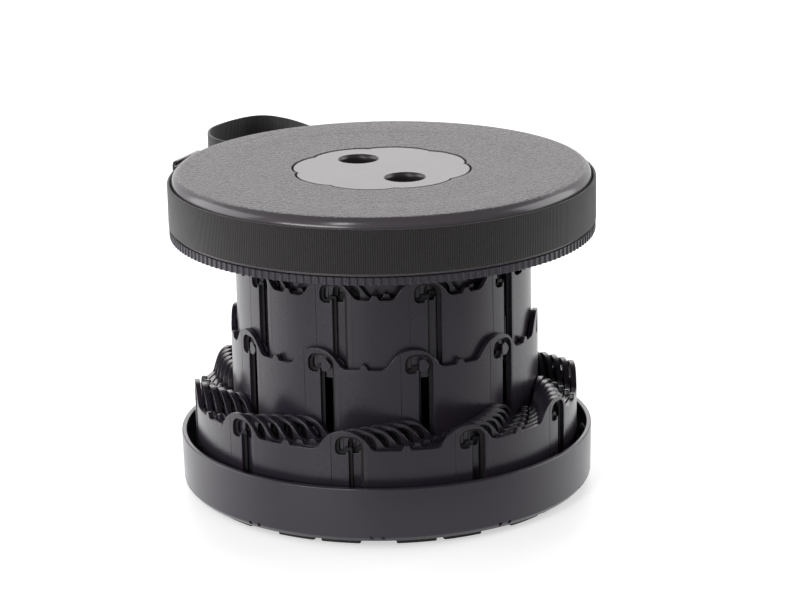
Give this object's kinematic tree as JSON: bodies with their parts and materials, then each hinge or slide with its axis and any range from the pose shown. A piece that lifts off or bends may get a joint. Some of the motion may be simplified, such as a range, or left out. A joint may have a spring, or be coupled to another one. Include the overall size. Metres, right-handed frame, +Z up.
{
  "type": "telescopic stool",
  "caption": "Collapsible round stool with a telescoping column of slotted plastic rings, a lobed handle insert and a webbing carry strap.",
  "frame": {"origin": "on the column's axis, at floor level, in the middle of the base's underside", "axes": "+Z up along the column's axis, -Y towards the front, +X to the right seen from the front; the carry loop is at the back left"},
  "size_m": [0.251, 0.2928, 0.1925],
  "materials": {
    "ring": "moulded black plastic, satin",
    "base": "moulded black plastic, satin",
    "seat": "moulded charcoal plastic with a fine leather grain",
    "insert": "moulded charcoal plastic, fine matt texture",
    "strap": "woven black webbing with cross ribs",
    "rubber": "matt",
    "steel": "zinc plated"
  },
  "bodies": {
    "base": {"base_dish": "base", "foot_pad_1": "rubber", "foot_pad_2": "rubber", "foot_pad_3": "rubber", "foot_pad_4": "rubber", "foot_pad_5": "rubber", "foot_pad_6": "rubber", "foot_pad_7": "rubber", "foot_pad_8": "rubber", "foot_pad_9": "rubber", "foot_pad_10": "rubber", "foot_pad_11": "rubber", "foot_pad_12": "rubber", "foot_pad_13": "rubber", "foot_pad_14": "rubber", "foot_pad_15": "rubber", "foot_pad_16": "rubber", "foot_pad_17": "rubber", "foot_pad_18": "rubber", "foot_pad_19": "rubber", "foot_pad_20": "rubber", "ring_1": "ring"},
    "ring_2": {"ring_2": "ring"},
    "ring_3": {"ring_3": "ring"},
    "ring_4": {"ring_4": "ring"},
    "ring_5": {"ring_5": "ring"},
    "ring_6": {"ring_6": "ring"},
    "ring_7": {"ring_7": "ring"},
    "ring_8": {"ring_8": "ring"},
    "ring_9": {"ring_9": "ring"},
    "seat": {"seat_tube": "ring", "seat_shell": "seat", "handle_insert": "insert", "grip_ring": "base", "seat_screw_1": "steel", "seat_screw_2": "steel", "seat_screw_3": "steel", "seat_screw_4": "steel", "seat_screw_5": "steel", "strap_band": "strap", "strap_loop": "strap"},
    "strap_slider": {"strap_slider": "base"}
  },
  "joints": [
    {"name": "slide_ring_2", "type": "slide", "parent": "base", "child": "ring_2", "axis": [0, 0, 1], "range_m": [0, 0.0402]},
    {"name": "slide_ring_3", "type": "slide", "parent": "ring_2", "child": "ring_3", "axis": [0, 0, 1], "range_m": [0, 0.0402]},
    {"name": "slide_ring_4", "type": "slide", "parent": "ring_3", "child": "ring_4", "axis": [0, 0, 1], "range_m": [0, 0.0402]},
    {"name": "slide_ring_5", "type": "slide", "parent": "ring_4", "child": "ring_5", "axis": [0, 0, 1], "range_m": [0, 0.0402]},
    {"name": "slide_ring_6", "type": "slide", "parent": "ring_5", "child": "ring_6", "axis": [0, 0, 1], "range_m": [0, 0.0402]},
    {"name": "slide_ring_7", "type": "slide", "parent": "ring_6", "child": "ring_7", "axis": [0, 0, 1], "range_m": [-0.0402, 0]},
    {"name": "slide_ring_8", "type": "slide", "parent": "ring_7", "child": "ring_8", "axis": [0, 0, 1], "range_m": [-0.0402, 0]},
    {"name": "slide_ring_9", "type": "slide", "parent": "ring_8", "child": "ring_9", "axis": [0, 0, 1], "range_m": [0, 0.0402]},
    {"name": "slide_seat", "type": "slide", "parent": "ring_9", "child": "seat", "axis": [0, 0, 1], "range_m": [-0.0385, 0]},
    {"name": "slider_along_strap", "type": "hinge", "parent": "seat", "child": "strap_slider", "pos_m": [0, 0, 0.1723], "axis": [0, 0, 1], "range_deg": [0, 20]}
  ]
}
